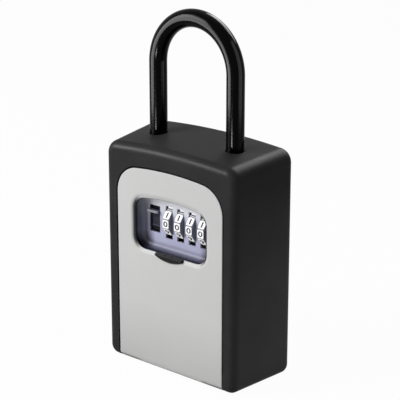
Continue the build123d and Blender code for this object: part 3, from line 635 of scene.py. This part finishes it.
def wrapped_grid(rows, columns, close_rows=True):
    """Four-cornered faces of a grid of points that closes around its columns."""
    row = np.arange(rows if close_rows else rows - 1)[:, None]
    column = np.arange(columns)[None, :]
    next_row = (row + 1) % rows
    next_column = (column + 1) % columns
    corners = (
        row * columns + column, row * columns + next_column,
        next_row * columns + next_column, next_row * columns + column,
    )
    return np.stack(np.broadcast_arrays(*corners), axis=-1).reshape(-1, 4)


def cushion(half_x, half_z, thick, corner, around):
    """Points and faces of a low cushion that faces -Y and stands on the plane y = 0.

    Its outline is the rounded rectangle x = a c|c|^(2/n - 1), z = b s|s|^(2/n - 1) for the
    cosine c and sine s of u, with n = corner. Rings of that outline, each with its own
    size and height, run from the front face over the rim to just behind the plane.
    """
    u = np.linspace(0.0, FULL_TURN, around, endpoint=False)
    c, s = np.cos(u), np.sin(u)
    x = half_x * np.sign(c) * np.abs(c) ** (2 / corner)
    z = half_z * np.sign(s) * np.abs(s) ** (2 / corner)
    size, height = np.array(CUSHION_RINGS).T
    height = height * thick
    rings = np.stack((
        size[:, None] * x, np.broadcast_to(-height[:, None], (len(size), around)),
        size[:, None] * z,
    ), axis=-1).reshape(-1, 3)
    front = np.arange(around)[None, :]
    back = front[:, ::-1] + (len(size) - 1) * around
    sides = wrapped_grid(len(size), around, close_rows=False)[:, ::-1]
    return rings, [sides, front, back]


def repeated(faces, count, step):
    """The same faces for count copies whose points follow one another by step."""
    shift = (np.arange(count) * step)[:, None, None]
    return [(block[None] + shift).reshape(-1, block.shape[1]) for block in faces]


def dial_centre(number):
    """Middle of a number ring, from its box."""
    low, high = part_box(f"dial_ring_{number}")
    return (np.array(low) + np.array(high)) / 2


def flat_distance(number):
    """Distance from the axle to a number flat, the front one being the ring's foremost."""
    return dial_centre(number)[1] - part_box(f"dial_ring_{number}")[0][1]


def turned_about_axle(points, angles, centre):
    """Copies of points turned about the axle by t: y cos t - z sin t, y sin t + z cos t."""
    angles = np.atleast_1d(angles)
    cos, sin = np.cos(angles)[:, None], np.sin(angles)[:, None]
    x = np.broadcast_to(points[:, 0], (len(angles), len(points)))
    y = cos * points[:, 1] - sin * points[:, 2]
    z = sin * points[:, 1] + cos * points[:, 2]
    return np.stack((x, y, z), axis=-1) + centre


def read_mesh(mesh):
    """A mesh's points, the corners of its faces in a row and each face's count."""
    points = np.empty(len(mesh.vertices) * 3)
    mesh.vertices.foreach_get("co", points)
    corners = np.empty(len(mesh.loops), dtype=np.int32)
    mesh.loops.foreach_get("vertex_index", corners)
    sizes = np.empty(len(mesh.polygons), dtype=np.int32)
    mesh.polygons.foreach_get("loop_total", sizes)
    return points.reshape(-1, 3), corners, sizes


def aim(item, place, heading):
    """Put a lamp or a camera at a place and turn it to look along a heading."""
    item.location = place
    item.rotation_euler = Vector(heading).to_track_quat("-Z", "Y").to_euler()


def show_white(tree, share, white, plain, output):
    """Join a shader that camera, glossy and transmission rays see as white by a share."""
    path = tree.nodes.new("ShaderNodeLightPath")
    seen = path.outputs["Is Camera Ray"]
    for name in ("Is Glossy Ray", "Is Transmission Ray"):
        larger = tree.nodes.new("ShaderNodeMath")
        larger.operation = "MAXIMUM"
        tree.links.new(seen, larger.inputs[0])
        tree.links.new(path.outputs[name], larger.inputs[1])
        seen = larger.outputs["Value"]
    scaled = tree.nodes.new("ShaderNodeMath")
    scaled.operation = "MULTIPLY"
    scaled.inputs[1].default_value = share
    tree.links.new(seen, scaled.inputs[0])
    mix = tree.nodes.new("ShaderNodeMixShader")
    tree.links.new(scaled.outputs["Value"], mix.inputs[0])
    tree.links.new(plain.outputs[0], mix.inputs[1])
    tree.links.new(white.outputs[0], mix.inputs[2])
    tree.links.new(mix.outputs[0], tree.nodes[output].inputs["Surface"])


# ---------------------------------------------------------------- operators
class LOCKBOX_OT_case(Operator):
    """Finish the shell, its back plate, the keeper and their screws"""

    bl_idname = "lockbox.case"
    bl_label = "Finish Case"

    def execute(self, context):
        look = settings().case
        dress(powder_coat(look), "case_cover")
        dress(back_paint(look), "back_plate")
        ceiling = moulded_plastic("compartment_black", COMPARTMENT_BLACK, 0.42)
        dress(ceiling, "mechanism_cover")
        plated = drawn_metal("plated_screw")
        dress(plated, "case_screws", "keeper_screws", "mechanism_cover_screws")
        dress(drawn_metal("pressed_steel"), "keeper")
        dress(drawn_metal("pin_steel"), "hinge_pins")
        return {"FINISHED"}


class LOCKBOX_OT_door(Operator):
    """Finish the door's panel, frame, bezel, shutter, button and rear cover"""

    bl_idname = "lockbox.door"
    bl_label = "Finish Door"

    def execute(self, context):
        look = settings().door
        dress(silver_paint(look), "door_panel")
        dress(bezel_plastic(look), "dial_bezel")
        dress(cast_zinc(look), "door_frame")
        dress(moulded_plastic("cover_black", COVER_BLACK, 0.44), "door_rear_cover")
        shutter = moulded_plastic("shutter_black", tuple(look.shutter), 0.28, specular=0.14)
        dress(shutter, "dial_shutter")
        dress(thumb_plastic(look), "release_button")
        dress(drawn_metal("panel_screw"), "panel_screws", "rear_cover_screws")
        return {"FINISHED"}


class LOCKBOX_OT_lock_work(Operator):
    """Finish the dials, axle, cams, bolt, springs and levers"""

    bl_idname = "lockbox.lock_work"
    bl_label = "Finish Lock Work"

    def execute(self, context):
        look = settings().dials
        wheel = moulded_plastic("slate_wheel", tuple(look.wheel), 0.40)
        dress(wheel, *(f"dial_ring_{n}" for n in DIALS))
        dress(drawn_metal("turned_brass"), *(f"code_cam_{n}" for n in DIALS))
        steel = drawn_metal("ground_steel")
        dress(steel, "dial_axle", "latch_bolt", "shackle_lock_plate")
        dress(drawn_metal("rod_steel"), "shackle_core")
        wire = drawn_metal("spring_wire")
        dress(wire, "axle_clip", "detent_comb")
        dress(wire, "release_spring", "cam_spring", "shackle_lock_spring")
        lever = moulded_plastic("lever_black", LEVER_BLACK, 0.45)
        dress(lever, "reset_lever", "shackle_release_tab", "shackle_bushes")
        return {"FINISHED"}


class LOCKBOX_OT_springs(Operator):
    """Put copies of the two springs behind the door in place of the CAD springs"""

    bl_idname = "lockbox.springs"
    bl_label = "Springs"

    def execute(self, context):
        self.between("release_spring", "door", "release", Z)
        self.between("cam_spring", "reset", "door", X)
        return {"FINISHED"}

    def between(self, name, lower, upper, axis):
        """A copy of a spring, baked where the CAD spring is, which is hidden; lower and upper are
        not used.
        """
        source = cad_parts[name]
        spring = new_object(f"{name}_coil", source.data.copy())
        spring.matrix_world = source.matrix_world.copy()
        low, high = (Vector(corner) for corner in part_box(name))
        start = (low + high) / 2
        end = start.copy()
        start[axis], end[axis] = low[axis], high[axis]
        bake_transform(spring)
        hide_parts(name)


class LOCKBOX_OT_shackle_sleeve(Operator):
    """Build the glossy sleeve on the shackle"""

    bl_idname = "lockbox.shackle_sleeve"
    bl_label = "Shackle Sleeve"

    def execute(self, context):
        look = settings().shackle
        points, quads = self.surface(look)
        sleeve = mesh_object("shackle_sleeve", sleeve_gloss(look), points, *in_a_row([quads]))
        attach(sleeve, "shackle")
        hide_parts("shackle_coating")
        return {"FINISHED"}

    def surface(self, look):
        """A ring carried up one leg, over a half circle and down the other leg.

        The path is C(s): straight for the length of a leg, then
        (-R cos a, 0, bend + R sin a) for a from 0 to pi, then straight down. A point is
        C(s) + r (N cos u + Y sin u), N being the path's outward normal. The pair (s, r)
        rounds one lip, s = q (1 - cos t) and r = edge - q + q sin t, runs along the
        outside, rounds the other lip and comes back through the bore.
        """
        leg = look.bend_z - look.end_z
        bend = math.pi * look.leg_x
        full = 2 * leg + bend
        t = np.linspace(0.0, math.pi / 2, LIP_RINGS)
        lip_s = look.lip * (1 - np.cos(t))
        lip_r = look.radius - look.lip + look.lip * np.sin(t)
        outside = np.linspace(look.lip, full - look.lip, look.along)[1:-1]
        inside = np.linspace(full, 0.0, look.along // 3)
        s = np.concatenate((lip_s, outside, full - lip_s[::-1], inside))
        r = np.concatenate((
            lip_r, np.full(len(outside), look.radius),
            lip_r[::-1], np.full(len(inside), look.bore),
        ))
        angle = np.clip((s - leg) / look.leg_x, 0.0, math.pi)
        drop = np.clip(leg - s, 0.0, None) + np.clip(s - leg - bend, 0.0, None)
        level = np.zeros_like(s)
        outward = np.stack((-np.cos(angle), level, np.sin(angle)), axis=-1)
        centre = look.leg_x * outward + np.stack((level, level, look.bend_z - drop), axis=-1)
        u = np.linspace(0.0, FULL_TURN, look.around, endpoint=False)
        across = np.array((0.0, 1.0, 0.0))
        section = outward[:, None] * np.cos(u)[:, None] + across * np.sin(u)[:, None]
        points = centre[:, None] + r[:, None, None] * section
        return points.reshape(-1, 3), wrapped_grid(len(s), look.around)


class LOCKBOX_OT_dial_labels(Operator):
    """Lay ten white labels on the flats of each dial"""

    bl_idname = "lockbox.dial_labels"
    bl_label = "Dial Labels"

    def execute(self, context):
        look = settings().dials
        white = label_white(look)
        angles = np.arange(DIGITS) * DIGIT_STEP
        for number in DIALS:
            low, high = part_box(f"dial_ring_{number}")
            half_width = (high[0] - low[0]) / 2 - look.label_margin
            halves = (half_width, look.label_height / 2)
            plate, faces = cushion(*halves, look.label_thick, corner=7.0, around=48)
            plate[:, 1] -= flat_distance(number)
            points = turned_about_axle(plate, angles, dial_centre(number)).reshape(-1, 3)
            faces = in_a_row(repeated(faces, DIGITS, len(plate)))
            labels = mesh_object(f"dial_labels_{number}", white, points, *faces)
            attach(labels, f"dial_{number}")
        return {"FINISHED"}


class LOCKBOX_OT_dial_numbers(Operator):
    """Print the numbers 0 to 9 on the labels of each dial"""

    bl_idname = "lockbox.dial_numbers"
    bl_label = "Dial Numbers"

    def execute(self, context):
        look = settings().dials
        ink = number_ink(look)
        glyphs = [self.glyph(digit, look) for digit in range(DIGITS)]
        for number in DIALS:
            points, corners, sizes, start = [], [], [], 0
            for digit, (shape, shape_corners, shape_sizes) in enumerate(glyphs):
                raised = shape - np.array((0.0, flat_distance(number) + look.label_thick, 0.0))
                turn = -digit * DIGIT_STEP
                points.append(turned_about_axle(raised, turn, dial_centre(number))[0])
                corners.append(shape_corners + start)
                sizes.append(shape_sizes)
                start += len(shape)
            faces = (np.concatenate(corners), np.concatenate(sizes))
            name = f"dial_numbers_{number}"
            numbers = mesh_object(name, ink, np.concatenate(points), *faces)
            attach(numbers, f"dial_{number}")
        return {"FINISHED"}

    def glyph(self, digit, look):
        """One number as a closed thin solid: x across, z up, its middle on the plane y = 0."""
        curve = bpy.data.curves.new(f"digit_{digit}", "FONT")
        curve.body = str(digit)
        curve.size = 1.0
        curve.extrude = GLYPH_EXTRUDE
        curve.offset = look.digit_swell
        curve.resolution_u = GLYPH_RESOLUTION
        holder = new_object(f"digit_{digit}", curve)
        evaluated = holder.evaluated_get(bpy.context.evaluated_depsgraph_get())
        mesh = bpy.data.meshes.new_from_object(evaluated)
        form = bmesh.new()
        form.from_mesh(mesh)
        bmesh.ops.remove_doubles(form, verts=form.verts, dist=GLYPH_MERGE)
        bmesh.ops.recalc_face_normals(form, faces=form.faces)
        form.to_mesh(mesh)
        form.free()
        flat, corners, sizes = read_mesh(mesh)
        bpy.data.objects.remove(holder)
        bpy.data.curves.remove(curve)
        bpy.data.meshes.remove(mesh)
        middle = (flat.min(axis=0) + flat.max(axis=0)) / 2
        scale = look.digit_height / (flat[:, 1].max() - flat[:, 1].min())
        x = (flat[:, 0] - middle[0]) * scale * look.digit_width
        z = (flat[:, 1] - middle[1]) * scale
        y = -np.sign(flat[:, 2]) * INK_HALF
        return np.stack((x, y, z), axis=-1), corners, sizes


class LOCKBOX_OT_index_marks(Operator):
    """Put a white mark on the bezel beside the top of each dial's slot"""

    bl_idname = "lockbox.index_marks"
    bl_label = "Index Marks"

    def execute(self, context):
        look = settings().dials
        halves = (look.mark_width / 2, look.mark_height / 2)
        plate, faces = cushion(*halves, look.label_thick, corner=4.0, around=32)
        middles = np.stack([dial_centre(number) for number in DIALS])
        middles[:, 0] += look.mark_shift
        middles[:, 1] = look.mark_depth
        middles[:, 2] = look.mark_level
        points = (plate[None] + middles[:, None]).reshape(-1, 3)
        faces = in_a_row(repeated(faces, len(DIALS), len(plate)))
        marks = mesh_object("index_marks", label_white(look), points, *faces)
        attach(marks, "door")
        return {"FINISHED"}


class LOCKBOX_OT_stage(Operator):
    """Lay the floor, hang the lamps and place the camera"""

    bl_idname = "lockbox.stage"
    bl_label = "Studio"

    def execute(self, context):
        look = settings().studio
        self.floor(look)
        self.room(look)
        self.hang(look, SOFT_LAMPS)
        sleeve = self.receivers("sleeve_receivers", "shackle_sleeve")
        self.hang(look, SLEEVE_GLOWS, sleeve, highlight=True)
        shell = self.receivers("shell_receivers", "case_cover")
        self.hang(look, SHELL_GLOWS, shell, highlight=True)
        self.hang(look, SHELL_LAMPS, shell)
        white = ("index_marks", *(f"dial_labels_{n}" for n in DIALS))
        self.hang(look, LABEL_LAMPS, self.receivers("label_receivers", *white))
        self.camera()
        context.scene.view_settings.view_transform = "Standard"
        return {"FINISHED"}

    def floor(self, look):
        """A flat square sheet at z = 0, pale, seen as a white background with a soft shadow."""
        material = bpy.data.materials.new("pale_floor")
        material.use_nodes = True
        tree = material.node_tree
        tree.nodes.remove(tree.nodes["Principled BSDF"])
        matt = tree.nodes.new("ShaderNodeBsdfDiffuse")
        matt.inputs["Color"].default_value = look.floor
        white = tree.nodes.new("ShaderNodeEmission")
        white.inputs["Color"].default_value = WHITE
        show_white(tree, look.floor_white, white, matt, "Material Output")
        points = np.array(((-1, -1, 0), (1, -1, 0), (1, 1, 0), (-1, 1, 0))) * FLOOR_HALF
        face = in_a_row([np.array([[0, 1, 2, 3]])])
        mesh_object("floor", material, points, *face)

    def room(self, look):
        """White background to the eye, with plain fill light from all round."""
        world = bpy.data.worlds.new("studio_room")
        bpy.context.scene.world = world
        world.use_nodes = True
        tree = world.node_tree
        fill = tree.nodes["Background"]
        fill.inputs["Color"].default_value = WHITE
        fill.inputs["Strength"].default_value = look.fill
        white = tree.nodes.new("ShaderNodeBackground")
        white.inputs["Color"].default_value = WHITE
        show_white(tree, 1.0, white, fill, "World Output")

    def receivers(self, name, *pieces):
        """The only pieces that a lamp reaches."""
        group = bpy.data.collections.new(name)
        for piece in pieces:
            group.objects.link(bpy.data.objects[piece])
        return group

    def hang(self, look, rows, pieces=None, highlight=False):
        """Soft rectangular lamps, for all or some pieces, in full or as highlights alone."""
        for name, setting, width, height, place, target in rows:
            light = bpy.data.lights.new(name, "AREA")
            light.shape = "RECTANGLE"
            light.size = width
            light.size_y = height
            light.energy = getattr(look, setting)
            lamp = new_object(name, light)
            aim(lamp, place, Vector(target) - Vector(place))
            if pieces is not None:
                lamp.light_linking.receiver_collection = pieces
            if highlight:
                lamp.visible_camera = False
                lamp.visible_diffuse = False
                lamp.visible_transmission = False
                lamp.visible_volume_scatter = False

    def camera(self):
        """Long lens, from the right and a little above."""
        lens = bpy.data.cameras.new("view")
        lens.lens = LENS_MM
        lens.sensor_width = SENSOR_MM
        lens.clip_start = CLIP_START
        view = new_object("view", lens)
        aim(view, CAMERA_PLACE, CAMERA_HEADING)
        bpy.context.scene.camera = view


OPERATORS = (
    LOCKBOX_OT_case,
    LOCKBOX_OT_door,
    LOCKBOX_OT_lock_work,
    LOCKBOX_OT_springs,
    LOCKBOX_OT_shackle_sleeve,
    LOCKBOX_OT_dial_labels,
    LOCKBOX_OT_dial_numbers,
    LOCKBOX_OT_index_marks,
    LOCKBOX_OT_stage,
)


class LOCKBOX_PT_panel(Panel):
    """Lists the settings and the steps that dress the lock box"""

    bl_idname = "LOCKBOX_PT_panel"
    bl_label = "Lock Box"
    bl_space_type = "VIEW_3D"
    bl_region_type = "UI"
    bl_category = "Lock Box"

    def draw(self, context):
        """One button for each step, and a box for each group of settings."""
        layout = self.layout
        for operator in OPERATORS:
            layout.operator(operator.bl_idname)
        for group_name in LockBoxSettings.__annotations__:
            group = getattr(context.scene.lock_box, group_name)
            box = layout.box()
            box.label(text=group_name.title())
            for setting in type(group).__annotations__:
                box.prop(group, setting)


CLASSES = (
    LockBoxCase, LockBoxDoor, LockBoxDials, LockBoxShackle, LockBoxStudio, LockBoxSettings,
    *OPERATORS, LOCKBOX_PT_panel,
)


def register():
    """Add the classes, and the settings to every scene."""
    for item in CLASSES:
        bpy.utils.register_class(item)
    bpy.types.Scene.lock_box = PointerProperty(type=LockBoxSettings)


def unregister():
    """Take back what register added."""
    del bpy.types.Scene.lock_box
    for item in reversed(CLASSES):
        bpy.utils.unregister_class(item)


def main():
    """Dress the lock box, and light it."""
    register()
    bpy.ops.lockbox.case()
    bpy.ops.lockbox.door()
    bpy.ops.lockbox.lock_work()
    bpy.ops.lockbox.springs()
    bpy.ops.lockbox.shackle_sleeve()
    bpy.ops.lockbox.dial_labels()
    bpy.ops.lockbox.dial_numbers()
    bpy.ops.lockbox.index_marks()
    bpy.ops.lockbox.stage()


if __name__ == "__main__":
    main()
